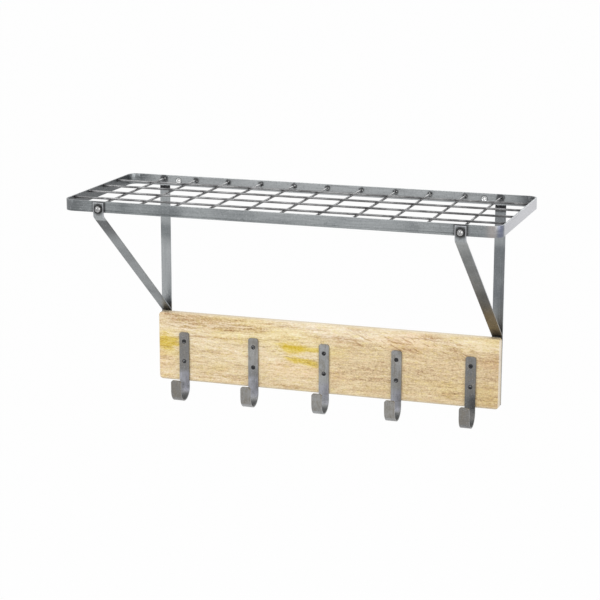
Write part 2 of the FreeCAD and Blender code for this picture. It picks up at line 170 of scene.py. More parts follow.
class ShelfFixings(bpy.types.PropertyGroup):
    zinc: colour("Zinc", "Bolt heads and nuts", (0.440, 0.440, 0.438))
    zinc_dull: colour("Zinc, dull", "Mottling of the plating", (0.230, 0.230, 0.235))
    black: colour("Black", "Rings and screws", (0.014, 0.014, 0.015))
    rubbed: colour("Rubbed black", "Rubbed and dusty black", (0.110, 0.108, 0.105))
    # Painted glints round the screw recesses; dusty spots on the bolt rings
    glint: colour("Glint", "Bare edges of the screw recesses", (0.250, 0.250, 0.256))
    recess_depth: length("Recess depth", "Cross recess of the bolts and screws", 0.0009)
    bolt_shank: length("Bolt shank", "Radius of the bolts", 0.0025)
    screw_shank: length("Screw shank", "Radius of the hook screws", 0.002)
    head_steps: IntProperty(name="Head steps", description="Rings in a round head", default=22, min=6)
    head_sides: IntProperty(name="Head sides", description="Sides of a round head", default=56, min=12)


class ShelfStage(bpy.types.PropertyGroup):
    floor_drop: length("Floor", "Floor below the object's origin", 2.60)
    floor_size: length("Floor size", "Side of the floor", 160.0)
    floor_tone: colour("Floor tone", "Colour of the floor", (0.94, 0.94, 0.94))
    floor_white: share("Floor white", "How white the floor looks", 0.96)
    world_level: share("World", "Soft light from all round", 0.77)
    azimuth: angle("Azimuth", "Camera to the right of the front", 18.473)
    elevation: angle("Elevation", "Camera above the horizon", 13.278)
    roll: angle("Roll", "Camera roll", 0.085)
    distance: length("Distance", "Camera from its aim", 3.49828)
    aim: FloatVectorProperty(
        name="Aim", description="Point in the middle of the picture",
        default=(-0.03423, -0.06167, -0.20188), subtype="TRANSLATION",
    )
    lens: FloatProperty(name="Lens", description="Focal length in millimetres", default=112.036, min=1.0)


class Nodes:
    """A node tree under construction."""

    def __init__(self, owner):
        owner.use_nodes = True
        self.tree = owner.node_tree

    def feed(self, socket, value):
        """Link an output to a socket, or set the socket to a plain value."""
        if isinstance(value, bpy.types.NodeSocket):
            self.tree.links.new(value, socket)
        elif socket.type == "RGBA":
            socket.default_value = (*value, 1.0)
        else:
            socket.default_value = value

    def node(self, kind, sockets=(), **settings):
        item = self.tree.nodes.new(kind)
        for key, value in settings.items():
            setattr(item, key, value)
        for key, value in sockets:
            self.feed(item.inputs[key], value)
        return item

    def math(self, operation, *values):
        return self.node("ShaderNodeMath", enumerate(values), operation=operation).outputs[0]

    def plus(self, first, second):
        return self.math("ADD", first, second)

    def minus(self, first, second):
        return self.math("SUBTRACT", first, second)

    def above(self, value, limit):
        return self.math("GREATER_THAN", value, limit)

    def below(self, value, limit):
        return self.math("LESS_THAN", value, limit)

    def absolute(self, value):
        return self.math("ABSOLUTE", value)

    def product(self, *values):
        result = values[0]
        for value in values[1:]:
            result = self.math("MULTIPLY", result, value)
        return result

    def seen(self):
        """One where a camera ray arrives, straight, mirrored or through glass."""
        rays = self.node("ShaderNodeLightPath").outputs
        bent = self.math("MAXIMUM", rays["Is Transmission Ray"], rays["Is Glossy Ray"])
        return self.math("MAXIMUM", rays["Is Camera Ray"], bent)


class Finish(Nodes):
    """A material under construction, placed by the shelf's own metres."""

    def __init__(self, name, ground=None):
        self.material = bpy.data.materials.new(name)
        super().__init__(self.material)
        self.shader = self.tree.nodes["Principled BSDF"]
        self.place = self.node("ShaderNodeTexCoord").outputs["Object"]
        self.x, self.y, self.z = self.node("ShaderNodeSeparateXYZ", [(0, self.place)]).outputs
        self.side = self.absolute(self.x)
        self.tone = ground

    def point(self, *parts):
        return self.node("ShaderNodeCombineXYZ", enumerate(parts)).outputs[0]

    def vector(self, operation, *values):
        return self.node("ShaderNodeVectorMath", enumerate(values), operation=operation).outputs[0]

    def moved(self, offset):
        return self.vector("ADD", self.place, offset)

    def cloud(self, scale, detail, rough, swirl=0.0, source=None):
        """Soft noise about one half."""
        vector = self.vector("MULTIPLY", source or self.place, scale)
        sockets = [("Vector", vector), ("Scale", 1.0), ("Detail", detail), ("Roughness", rough)]
        return self.node("ShaderNodeTexNoise", [*sockets, ("Distortion", swirl)]).outputs[0]

    def ramp(self, value, low, high, start=0.0, stop=1.0):
        """Eased step from start to stop while the value goes from low to high."""
        sockets = enumerate((value, low, high, start, stop))
        item = self.node("ShaderNodeMapRange", sockets, interpolation_type="SMOOTHSTEP", clamp=True)
        return item.outputs[0]

    def span(self, value, low, high, ease):
        """One between two places, with eased ends."""
        rise = self.ramp(value, low - ease, low + ease)
        return self.product(rise, self.ramp(value, high + ease, high - ease))

    def halves(self):
        """Masks of the left and the right half."""
        return self.ramp(self.x, 0.1, -0.1), self.ramp(self.x, -0.1, 0.1)

    def weighed(self, *pairs):
        """Weighted noises, each taken about its middle."""
        total = None
        for value, weight in pairs:
            part = self.product(self.minus(value, 0.5), weight)
            total = part if total is None else self.plus(total, part)
        return total

    def stops(self, value, *pairs):
        """Colours along a value."""
        item = self.node("ShaderNodeValToRGB", [(0, value)])
        marks = item.color_ramp.elements
        while len(marks) < len(pairs):
            marks.new(1.0)
        for mark, (place, tone) in zip(marks, pairs):
            mark.position = place
            mark.color = (*tone, 1.0)
        return item.outputs[0]

    def from_repeat(self, value, origin, pitch):
        """Distance to the nearest of evenly spaced places."""
        return self.math("PINGPONG", self.minus(value, origin), pitch / 2)

    def reach(self, first, second):
        """Length of a two-sided offset."""
        return self.math("SQRT", self.plus(self.product(first, first), self.product(second, second)))

    def slope(self, side, rise, tilt):
        """Offsets along and across a slope."""
        along = self.plus(self.product(side, math.cos(tilt)), self.product(rise, math.sin(tilt)))
        across = self.minus(self.product(rise, math.cos(tilt)), self.product(side, math.sin(tilt)))
        return along, across

    def paint(self, colour, *masks, mode="MIX"):
        """Lay a colour over the tone, as far as all the masks allow."""
        item = self.node("ShaderNodeMix", data_type="RGBA", blend_type=mode)
        for at, value in ((0, self.product(*masks)), (6, self.tone), (7, colour)):
            self.feed(item.inputs[at], value)
        self.tone = item.outputs[2]

    def fade(self, colour, value, low, high, strength, *masks, mode="MIX"):
        """Lay a colour over the tone, up to a strength, while a value goes from low to high."""
        self.paint(colour, self.ramp(value, low, high, 0.0, strength), *masks, mode=mode)

    def bump(self, height, strength, depth):
        sockets = [("Strength", strength), ("Distance", depth), ("Height", height)]
        self.feed(self.shader.inputs["Normal"], self.node("ShaderNodeBump", sockets).outputs[0])

    def done(self, **values):
        """Give the shader its tone and the other values."""
        for key, value in (("base_color", self.tone), *values.items()):
            name = key.replace("_", " ").title().replace("Ior", "IOR")
            self.feed(self.shader.inputs[name], value)
        return self.material


def even(scale):
    """The same scale in all directions."""
    return (scale, scale, scale)


def steel_finish(steel, name, tones, brush, depth, marks, dull=None):
    """Brushed steel: lines along the bar, soft patches, the marks of its place and dull areas."""
    dark, light = tones
    made = Finish(name, dark)
    lines = made.cloud(brush, 4.0, 0.65)
    patches = made.cloud((8.0, 8.0, 12.0), 4.0, 0.58, 0.4)
    tints = made.cloud((5.0, 7.0, 6.0), 2.0, 0.5, source=made.moved((3.1, 1.7, 5.3)))
    specks = made.cloud(even(440.0), 2.0, 0.5)
    made.fade(light, patches, 0.34, 0.66, 1.0)
    made.fade(steel.cool_tint, tints, 0.56, 0.80, 0.16)
    made.fade(steel.warm_tint, tints, 0.44, 0.22, 0.12)
    marks(made, steel)
    made.fade(steel.brush_line_and_shade, lines, 0.58, 0.30, depth)
    made.fade(steel.bar_pale, lines, 0.50, 0.70, depth * 0.7)
    made.fade(steel.brush_line_and_shade, specks, 0.56, 0.72, 0.30)
    # Painted sparkle: pale specks laid as tiny highlights
    made.fade(steel.bar_painted_highlight, specks, 0.44, 0.28, 0.22)
    rough = made.ramp(lines, 0.2, 0.8, 0.30, 0.46)
    if dull:
        rough = made.math("MAXIMUM", rough, made.product(dull(made), 0.72))
    made.bump(lines, 0.25, 0.0004)
    return made.done(metallic=1.0, roughness=rough, coat_weight=0.10, coat_roughness=0.20)


def broken_ring(made, distance, inner, outer, strength):
    """Dark round mark with a broken edge."""
    noise = made.cloud(even(260.0), 3.0, 0.6)
    broken = made.plus(distance, made.weighed((noise, 0.006)))
    return made.ramp(broken, outer, inner, 0.0, strength)


def grid_offsets(made):
    """Distances to the nearest cross wire and to the nearest long wire."""
    along = made.from_repeat(made.x, FIRST_CROSS.x, CROSS_PITCH)
    across = made.from_repeat(made.y, FIRST_LONG.y, LONG_PITCH)
    return along, across


def past_tab(made):
    """How far a place lies past the outline of the nearer brace's tab."""
    aside = made.absolute(made.minus(made.side, BRACE_X))
    return made.math("MAXIMUM", made.minus(aside, HALF_BAR), made.minus(made.z, BRACE_HIGH.z))


def band_marks(made, steel):
    """Runs, corner tints, hole rims and burns of the band."""
    band_runs(made, steel)
    corner_tints(made, steel)
    bare_holes(made, steel)
    wire_burns(made, steel)


def band_runs(made, steel):
    """Lighter and darker lengths of the band, painted shade in the rear corners and on the left run's
    inner face, and a painted shadow round the brace tabs.
    """
    front = made.below(made.y, BAND_LOW.y + FACE_DEPTH)
    rear = made.ramp(made.y, CROSS_REAR - 0.012, CROSS_REAR - 0.002)
    left_inside = made.span(made.x, -LONG_END - 0.001, -LONG_END + FACE_DEPTH, 0.0002)
    made.fade(steel.bar_dark, made.x, -0.12, -0.36, 0.48, front)
    made.fade(steel.bar_dark, made.x, 0.26, 0.34, 0.35, front)
    made.fade(steel.bar_shade, made.x, -0.342, -0.380, 0.72)
    made.paint(steel.bar_pale, made.span(made.x, -0.14, 0.24, 0.10), front, 0.40)
    made.paint(steel.bar_pale, made.span(made.x, -0.275, -0.215, 0.015), front, 0.24)
    made.paint(steel.bar_pale, rear, made.ramp(made.x, 0.0, 0.25, 0.95, 0.72))
    # Painted shade in the rear corners, deepest in the right one
    made.fade(steel.bar_dark, made.side, 0.335, 0.385, 0.70, rear)
    made.fade(steel.brush_line_and_shade, made.x, 0.362, 0.388, 0.85, rear)
    # Painted shade: the left run's inner face made darker
    made.paint(steel.bar_shade, left_inside, 0.95)
    # Painted shadow: a thin dark line round the outline of each brace tab
    made.fade(steel.grime_and_painted_shade, past_tab(made), 0.0055, 0.0005, 0.85, front)


def corner_tints(made, steel):
    """Painted highlight on the right run's outer face, and heat tints round the front right corner."""
    from_front = made.minus(made.y, BAND_LOW.y)
    from_right = made.minus(BAND_HIGH.x, made.x)
    bend = (BAND_CORNER + 0.0015, BAND_CORNER - 0.0005)
    in_x = made.ramp(from_right, *bend)
    in_y = made.ramp(from_front, *bend)
    round_it = made.minus(from_front, from_right)
    on_right = made.below(from_right, FACE_DEPTH)
    past_bend = made.ramp(from_front, 0.008, 0.026)
    # Painted reflection: the right run's outer face paler, lighter towards the rear
    made.paint(steel.bar_painted_highlight, on_right, made.ramp(from_front, 0.02, 0.20, 0.86, 1.0), past_bend)
    made.paint(steel.warm_tint, made.span(round_it, -0.024, -0.008, 0.009), in_y, 0.42)
    made.paint(steel.cool_tint, made.span(round_it, -0.004, 0.014, 0.007), in_x, in_y, 0.70)


def bare_holes(made, steel):
    """Bare countersinks of the wall holes, with a painted shadow round their rims and painted shade
    inside.
    """
    from_hole = made.reach(made.minus(made.side, WALL_HOLE_X), made.z)
    on_rear = made.above(made.y, REAR_FACE)
    sunk = made.product(
        made.above(made.y, CROSS_REAR + 0.00008), made.below(made.y, BAND_HIGH.y - FACE_DEPTH),
        made.ramp(made.x, -0.1, 0.1, 1.0, 0.70),
    )
    # Painted shadow: a dark ring round each hole's rim
    made.paint(steel.brush_line_and_shade, made.span(from_hole, 0.0052, 0.0066, 0.0006), on_rear, 0.75)
    made.fade(steel.bare_and_highlight, from_hole, 0.0056, 0.0050, 1.0, sunk)
    # Painted shade inside each hole
    made.fade(steel.grime_and_painted_shade, from_hole, 0.0036, 0.0030, 0.90, sunk)


def wire_burns(made, steel):
    """Broken burns round the welded wire ends, wider by the uprights."""
    along, across = grid_offsets(made)
    inside = made.product(
        made.below(made.side, LONG_END + FACE_DEPTH), made.above(made.y, CROSS_FRONT - FACE_DEPTH),
        made.below(made.y, CROSS_REAR + FACE_DEPTH),
    )
    on_rear = made.above(made.y, REAR_FACE)
    on_run = made.below(made.side, 0.02 - FIRST_CROSS.x)
    by_upright = made.span(made.side, BRACE_X - 2 * HALF_BAR, BRACE_X + 2 * HALF_BAR, 0.004)
    spread = made.plus(made.product(on_rear, 0.0008), made.product(on_rear, by_upright, 0.0024))
    cross_end = made.minus(made.reach(along, made.minus(made.z, FIRST_CROSS.z)), spread)
    made.paint(steel.burn, broken_ring(made, cross_end, 0.0028, 0.0068, 0.82), on_run, inside)
    long_end = made.reach(across, made.minus(made.z, FIRST_LONG.z))
    on_side = made.above(made.side, LONG_END - 0.0010)
    made.paint(steel.burn, broken_ring(made, long_end, 0.0028, 0.0062, 0.70), on_side, inside)


def upright_marks(made, steel):
    """Lighter and darker lengths of the uprights, darker just under the band, painted shade beside the
    board, and scale round the brace feet.
    """
    left, right = made.halves()
    made.fade(steel.bar_pale, made.z, -0.100, -0.140, 0.85, left)
    made.fade(steel.bar_pale, made.z, -0.092, -0.076, 0.50, left)
    made.paint(steel.bar_dark, left, made.span(made.z, -0.112, -0.090, 0.007), 0.45)
    made.fade(steel.bar_light, made.z, -0.092, -0.078, 0.90, right)
    made.paint(steel.bar_shade, right, made.span(made.z, -0.050, -0.026, 0.008), 0.55)
    made.paint(steel.bar_shade, right, made.span(made.z, -0.185, -0.120, 0.025), 0.28)
    made.fade(steel.bar_light, made.z, -0.180, -0.220, 0.85, right)
    made.paint(steel.hook_cool_and_painted_light, right, 0.09)
    # Painted shade on the upright's outer edge beside the board, darkest at the top
    outer_edge = made.above(made.side, BRACE_X + HALF_BAR - 0.0005)
    beside_board = made.product(outer_edge, made.below(made.z, BOARD_HIGH.z))
    made.fade(steel.grime_and_painted_shade, made.z, BOARD_HIGH.z - 0.09, BOARD_HIGH.z, 0.85, beside_board)
    # Darker just under the band, reaching further down on the right
    under = made.minus(BAND_LOW.z, made.z)
    scale = made.minus(under, made.product(right, 0.004))
    made.fade(steel.burn, scale, 0.012, 0.006, 1.0, made.above(under, 0.0))
    from_foot = made.absolute(made.minus(made.z, BRACE_LOW.z + 0.004))
    made.fade(steel.burn, from_foot, 0.026, 0.008, 0.60)
    made.fade(steel.rust, from_foot, 0.014, 0.004, 0.45, left)


def brace_marks(made, steel):
    """Painted highlight on the tab rims, a darker broken ring round each bolt, darker lengths of the
    slopes and burnt feet of the braces.
    """
    left, right = made.halves()
    on_tab = made.below(made.y, BAND_LOW.y)
    made.fade(steel.bar_shade, made.z, -0.030, -0.075, 0.25, left)
    made.fade(steel.bar_shade, made.z, 0.010, -0.150, 0.70, right)
    made.fade(steel.rust, made.z, -0.165, -0.205, 0.60, right)
    made.paint(steel.grime_and_painted_shade, right, made.span(made.z, -0.182, -0.138, 0.012), 0.30)
    made.paint(steel.bar_pale, made.span(made.z, -0.026, -0.014, 0.002), 0.40)
    # Darker stretch of the left slope just below the bend
    dull = made.product(left, made.ramp(made.z, -0.080, -0.040), made.ramp(made.z, -0.0245, -0.0275))
    made.paint(steel.bar_shade, dull, 0.95)
    made.paint(steel.grime_and_painted_shade, dull, 0.40)
    from_bolt = made.reach(made.minus(made.side, BRACE_X), made.minus(made.z, BOLT_Z))
    made.paint(steel.grime_and_painted_shade, broken_ring(made, from_bolt, 0.0080, 0.0135, 0.85), on_tab)
    # Painted highlight along the rims of the brace tabs
    made.fade(steel.bar_painted_highlight, past_tab(made), -0.0016, -0.0006, 0.75, on_tab)
    made.fade(steel.burn, made.y, -0.024, -0.004, 0.70)


def hook_marks(made, steel):
    """Middle hooks lighter, the right one darker, brownish tops and lips, bluish lower plates, and painted
    light and painted shade in the inner bends.
    """
    on_right = made.ramp(made.x, OUTER_HOOK_X - 0.06, OUTER_HOOK_X - 0.02)
    plate = made.above(made.y, HOOK_HIGH.y - HOOK_BAR - 0.001)
    lip = made.below(made.y, HOOK_LOW.y + HOOK_BAR + 0.001)
    worn = made.cloud((140.0, 60.0, 70.0), 3.0, 0.6)
    made.fade(steel.bar_pale, made.side, 0.24, 0.02, 0.45)
    made.paint(steel.bar_shade, on_right, 0.45)
    upper = made.product(plate, made.ramp(made.z, -0.375, -0.345))
    made.fade(steel.hook_warm, worn, 0.42, 0.60, 0.55, upper)
    made.paint(steel.hook_warm, lip, made.ramp(worn, 0.38, 0.62, 0.25, 0.75))
    lower = made.product(plate, made.span(made.z, HOOK_LOW.z + 0.027, -0.372, 0.006))
    cool = made.product(made.ramp(on_right, 1.0, 0.0), made.ramp(worn, 0.35, 0.60, 0.35, 0.90))
    # Cool tint, partly painted light: the lower plates made bluer and lighter where the lip shades them
    made.paint(steel.hook_cool_and_painted_light, lower, cool)
    made.paint(steel.bar_shade, lower, on_right, 0.55)
    bend = inner_bend(made)
    rise = made.minus(made.z, HOOK_LOW.z)
    # Painted light: the upper part of each inner bend made lighter
    made.paint(steel.hook_cool_and_painted_light, bend, made.span(rise, 0.013, 0.028, 0.004), cool)
    # Painted shade at the bottom of each inner bend
    made.fade(steel.bar_shade, rise, 0.014, 0.005, 0.80, bend)


def inner_bend(made):
    """One on the inside of the hook bends."""
    bend_y = made.minus(made.y, HOOK_HIGH.y - BEND_RADIUS)
    bend_z = made.minus(made.z, HOOK_LOW.z + BEND_RADIUS)
    from_axis = made.reach(bend_y, bend_z)
    return made.ramp(from_axis, BEND_RADIUS - HOOK_BAR * 0.4, BEND_RADIUS - HOOK_BAR * 0.8)


def weld_finish(steel):
    """Dark scaled weld metal, with painted glints on the top of each weld, brightest at the rear of the
    grid.
    """
    made = Finish("weld_scale", steel.burn)
    grit = made.cloud(even(900.0), 4.0, 0.65)
    crest_glints = made.cloud(even(240.0), 2.0, 0.5)
    # Lighter weld tops, partly painted highlight
    made.fade(steel.wire_light, crest_glints, 0.46, 0.62, 1.0)
    made.fade(steel.grime_and_painted_shade, grit, 0.55, 0.75, 0.6)
    in_grid = made.above(made.z, BAND_LOW.z)
    at_rear = made.ramp(made.y, CROSS_REAR - 0.020, CROSS_REAR - 0.008, 0.15, 0.90)
    # Painted glints: bright spots on the rear welds
    made.fade(steel.bare_and_highlight, crest_glints, 0.55, 0.62, 1.0, in_grid, at_rear)
    made.bump(grit, 0.5, 0.0003)
    return made.done(metallic=0.85, roughness=made.ramp(grit, 0.2, 0.8, 0.30, 0.60))


def wire_finish(steel):
    """Drawn wire, with a painted highlight towards the rear and darker by its welds."""
    made = Finish("drawn_wire", steel.wire_dark)
    patches = made.cloud(even(34.0), 3.0, 0.6)
    scuffs = made.cloud((160.0, 160.0, 900.0), 3.0, 0.6)
    made.fade(steel.wire_light, patches, 0.34, 0.66, 1.0)
    made.fade(steel.bare_and_highlight, scuffs, 0.54, 0.70, 0.05)
    # Painted highlight: the wires lighter towards the rear run
    made.fade(steel.bare_and_highlight, made.y, CROSS_REAR - 0.045, CROSS_REAR - 0.012, 0.30)
    made.fade(steel.burn, made.reach(*grid_offsets(made)), 0.0070, 0.0030, 0.35)
    made.fade(steel.burn, made.side, LONG_END - 0.014, LONG_END - 0.002, 0.75)
    made.fade(steel.burn, made.y, CROSS_REAR - 0.005, CROSS_REAR - 0.001, 0.45)
    made.fade(steel.burn, made.y, CROSS_FRONT + 0.012, CROSS_FRONT + 0.002, 0.70)
    made.bump(scuffs, 0.15, 0.0002)
    return made.done(metallic=1.0, roughness=made.ramp(patches, 0.2, 0.8, 0.28, 0.45))


def zinc_finish(fixings):
    """Bright plating with faint mottling."""
    made = Finish("bright_zinc", fixings.zinc)
    spangle = made.cloud(even(420.0), 3.0, 0.6)
    made.fade(fixings.zinc_dull, spangle, 0.40, 0.62, 0.80)
    made.bump(spangle, 0.08, 0.0001)
    return made.done(metallic=1.0, roughness=made.ramp(spangle, 0.2, 0.8, 0.22, 0.36))


def screw_glints(made):
    """Painted glints: broken bright arcs round the recesses of the hook screws."""
    broken = made.cloud(even(190.0), 1.0, 0.5)
    side = made.from_repeat(made.x, OUTER_HOOK_X, HOOK_PITCH)
    rise = made.math("MINIMUM", *(made.absolute(made.minus(made.z, row)) for row in SCREW_ROWS))
    from_screw = made.reach(side, rise)
    arcs = made.span(from_screw, SCREW_HEAD * 0.30, SCREW_HEAD * 0.62, SCREW_HEAD * 0.10)
    return made.product(arcs, made.ramp(broken, 0.52, 0.60))


def ring_glints(made):
    """Faint dusty spots on the rings under the bolts."""
    spots = made.cloud(even(260.0), 2.0, 0.5)
    return made.ramp(spots, 0.60, 0.76, 0.0, 0.20)


def black_finish(fixings, name, glints):
    """Black oxide with rubbed edges, dust and glints."""
    made = Finish(name, fixings.black)
    dust = made.cloud(even(500.0), 4.0, 0.65)
    made.fade(fixings.rubbed, dust, 0.50, 0.68, 0.60)
    made.paint(fixings.glint, glints(made))
    made.bump(dust, 0.15, 0.0001)
    return made.done(metallic=0.4, roughness=made.ramp(dust, 0.2, 0.8, 0.30, 0.55))


# Noises along the grain: scale, detail and roughness
WOOD_GRAIN = {
    "bands": ((2.4, 30.0, 28.0), 3.0, 0.5),
    "streaks": ((9.0, 120.0, 150.0), 4.0, 0.6),
    "threads": ((26.0, 260.0, 330.0), 3.0, 0.6),
    "fine": ((80.0, 300.0, 480.0), 2.0, 0.55),
    "flecks": ((230.0, 380.0, 480.0), 1.0, 0.5),
    "lines": ((7.0, 80.0, 250.0), 2.0, 0.5),
    "pores": ((46.0, 400.0, 520.0), 1.0, 0.5),
    "ragged": ((30.0, 60.0, 170.0), 4.0, 0.62),
}
# Where the wood turns from streaky to speckled, left to right
CHANGE = (-0.04, 0.06)
# Slant of the strokes in the upper right part, and how torn the patches' edges are
FIGURE_TILT = -0.40
RAGGED = 2.4
# Patches on the board's face: middle, half size, tilt and strength
YELLOW_STAINS = (
    ((-0.326, -0.316), (0.033, 0.015), 0.0, 1.00),
    ((-0.318, -0.340), (0.034, 0.007), 0.0, 0.35),
    ((-0.066, -0.311), (0.024, 0.011), 0.0, 0.88),
    ((-0.038, -0.309), (0.046, 0.005), -0.05, 0.85),
    ((-0.044, -0.334), (0.036, 0.006), -0.14, 0.95),
)
BROWN_SMUDGES = (
    ((-0.322, -0.2605), (0.016, 0.004), 0.0, 0.80),
    ((-0.326, -0.316), (0.030, 0.013), 0.0, 0.40),
    ((-0.235, -0.273), (0.112, 0.011), 0.0, 1.00),
    ((-0.165, -0.281), (0.045, 0.006), 0.0, 0.85),
    ((-0.220, -0.300), (0.075, 0.0026), 0.0, 1.00),
    ((-0.055, -0.271), (0.060, 0.003), -0.03, 0.60),
    ((0.010, -0.285), (0.050, 0.004), 0.0, 0.70),
    ((0.070, -0.267), (0.020, 0.004), 0.0, 0.60),
    ((0.045, -0.293), (0.030, 0.009), -0.10, 0.65),
    ((0.150, -0.283), (0.022, 0.004), -0.15, 0.85),
    ((0.208, -0.267), (0.018, 0.005), -0.10, 0.95),
    ((0.248, -0.279), (0.022, 0.012), -0.45, 0.65),
    ((-0.200, -0.376), (0.060, 0.006), 0.03, 0.80),
    ((-0.110, -0.385), (0.080, 0.004), 0.0, 0.55),
    ((0.300, -0.300), (0.060, 0.004), 0.0, 0.50),
)
PALE_PATCHES = (
    ((0.090, -0.272), (0.190, 0.014), 0.0, 0.98),
    ((0.310, -0.272), (0.050, 0.010), 0.0, 0.60),
    ((-0.100, -0.290), (0.060, 0.008), 0.0, 0.35),
    ((-0.120, -0.330), (0.070, 0.016), 0.0, 0.30),
    ((-0.055, -0.350), (0.060, 0.018), 0.0, 0.28),
    ((-0.060, -0.311), (0.034, 0.013), 0.0, 0.30),
)


class WoodFinish(Finish):
    """A finish with noises along a grain that wanders up and down."""

    def __init__(self, name, warp):
        super().__init__(name)
        wander = self.cloud((3.4, 9.0, 9.0), 3.0, 0.5)
        ripple = self.cloud((60.0, 40.0, 60.0), 2.0, 0.5)
        self.up = self.plus(self.z, self.weighed((wander, warp * 2.2), (ripple, warp * 0.5)))
        along = self.point(self.x, self.y, self.up)
        self.grain = {name: self.cloud(*how, source=along) for name, how in WOOD_GRAIN.items()}
        self.from_front = self.minus(self.y, BOARD_LOW.y)

    def patches(self, places, ragged, edge):
        """Ragged tilted ovals on the board's face, each with its strength."""
        torn = self.weighed((self.grain["ragged"], ragged))
        for (x, z), (length, height), tilt, strength in places:
            along, across = self.slope(self.minus(self.x, x), self.minus(self.up, z), tilt)
            spread = self.reach(self.product(along, 1 / length), self.product(across, 1 / height))
            yield self.ramp(self.plus(spread, torn), 1.0 + edge, 1.0 - edge), strength


def lay_ground(made, wood):
    """Streaks on the left, specks and curls on the right, and pale patches."""
    grain = made.grain
    specks = made.cloud(even(430.0), 1.0, 0.5)
    curl = made.cloud((300.0, 200.0, 330.0), 2.0, 0.5, 0.8)
    curly = made.product(made.span(made.x, 0.01, 0.29, 0.05), made.span(made.z, -0.385, -0.300, 0.02))
    calm = made.ramp(made.x, *CHANGE, 1.0, 0.72)
    light = made.weighed(
        (grain["bands"], 0.40), (grain["streaks"], made.product(calm, 0.60)),
        (grain["threads"], made.product(calm, 0.80)), (grain["fine"], made.product(calm, 0.80)),
        (grain["flecks"], 0.55), (specks, made.ramp(made.x, *CHANGE, 0.55, 0.46)),
    )
    light = made.plus(light, made.product(made.weighed((curl, 0.44)), curly))
    light = made.plus(light, made.ramp(made.x, -0.06, 0.10, 0.525, 0.41))
    light = made.minus(light, made.ramp(made.x, 0.28, 0.34, 0.0, 0.08))
    for patch, strength in made.patches(PALE_PATCHES, RAGGED, 0.8):
        light = made.plus(light, made.product(patch, strength * 0.35))
    tones = (wood.fleck, wood.brown, wood.cream, wood.pale, wood.white)
    made.tone = made.stops(light, *zip((0.0, 0.22, 0.52, 0.78, 1.0), tones))
    made.fade(wood.brown, grain["lines"], 0.62, 0.72, 0.50)


def tinge(made, wood):
    """Rosy and straw areas, wide ones and fine ones."""
    for scale, depth in (((6.0, 30.0, 18.0), 0.75), ((120.0, 300.0, 300.0), 0.80)):
        areas = made.cloud(scale, 2.0, 0.5, source=made.moved((0.7, 0.3, 1.9)))
        made.fade(wood.rosy, areas, 0.52, 0.68, depth, mode="MULTIPLY")
        made.fade(wood.straw, areas, 0.48, 0.32, depth, mode="MULTIPLY")


def mark_front(made, wood):
    """Brown smudges, slanting strokes, yellow stains and open pores."""
    front = made.ramp(made.from_front, 0.009, 0.003)
    threads = made.ramp(made.grain["threads"], 0.62, 0.38, 0.35, 1.0)
    streaky = made.product(threads, made.ramp(made.grain["flecks"], 0.66, 0.44, 0.45, 1.0), front)
    for patch, strength in made.patches(BROWN_SMUDGES, RAGGED, 0.55):
        made.paint(wood.smudge, patch, streaky, strength, mode="MULTIPLY")
    slant, rise = made.slope(made.x, made.z, FIGURE_TILT)
    strokes = made.cloud((55.0, 200.0, 300.0), 2.0, 0.5, source=made.point(slant, made.y, rise))
    figured = made.product(made.span(made.x, 0.05, 0.29, 0.03), made.span(made.z, -0.298, -0.266, 0.006))
    made.fade(wood.smudge, strokes, 0.55, 0.64, 0.85, figured, front, mode="MULTIPLY")
    soaked = made.product(made.ramp(made.grain["flecks"], 0.34, 0.60, 1.0, 0.80), front)
    for patch, strength in made.patches(YELLOW_STAINS, RAGGED * 0.9, 0.45):
        made.paint(wood.stain, patch, strength, soaked, mode="MULTIPLY")
    sparse = made.ramp(made.x, *CHANGE, 0.55, 0.25)
    made.fade(wood.fleck, made.grain["pores"], 0.66, 0.76, 1.0, sparse)


def grey_edges(made, wood):
    """Painted shade on the top and bottom edges, and pale ends, partly painted highlight, with painted
    shade towards the rear.
    """
    top = made.ramp(made.z, BOARD_HIGH.z - 0.0018, BOARD_HIGH.z - 0.0005)
    # Painted shade on the top face, deepest towards the rear
    made.paint(wood.painted_edge_shade, top, made.ramp(made.from_front, 0.004, 0.013, 0.30, 0.80))
    # Painted shade along the bottom edge
    made.fade(wood.painted_edge_shade, made.z, BOARD_LOW.z + 0.0050, BOARD_LOW.z + 0.0012, 0.60)
    ends = made.ramp(made.side, BOARD_HIGH.x - wood.edge, BOARD_HIGH.x - wood.edge / 3, 0.0, 0.70)
    # Pale end grain, partly painted highlight
    made.paint(wood.end_grain_and_highlight, ends)
    # Painted shade on the ends towards the rear
    made.fade(wood.painted_edge_shade, made.from_front, 0.003, 0.015, 0.85, ends, mode="MULTIPLY")


def wood_finish(wood):
    """Pale open-grained wood with brown grain, flecks, tinges and yellow stains."""
    made = WoodFinish("pale_wood", wood.warp)
    lay_ground(made, wood)
    tinge(made, wood)
    mark_front(made, wood)
    grey_edges(made, wood)
    made.bump(made.weighed((made.grain["fine"], 1.0), (made.grain["flecks"], 0.8)), 0.22, 0.0005)
    rough = made.ramp(made.grain["streaks"], 0.2, 0.8, 0.62, 0.46)
    return made.done(roughness=rough, specular_ior_level=0.35)


def ease_edges(item, width, segments=2):
    """Soften a node's cut edges without changing its own mesh."""
    weld = item.modifiers.new("Closed", "WELD")
    weld.merge_threshold = 1e-5
    bevel = item.modifiers.new("Eased", "BEVEL")
    bevel.width = width
    bevel.segments = segments
    bevel.limit_method = "ANGLE"
    bevel.angle_limit = math.radians(40)
    bevel.harden_normals = True


def dress(node, material):
    """Give a CAD node one finish."""
    item = NODES[node]
    item.data.materials.clear()
    item.data.materials.append(material)
    return item


def brush_nodes(steel, nodes, *settings):
    """Give CAD nodes one brushed finish and soften their edges."""
    finish = steel_finish(steel, *settings)
    for node in nodes:
        ease_edges(dress(node, finish), steel.edge_ease)


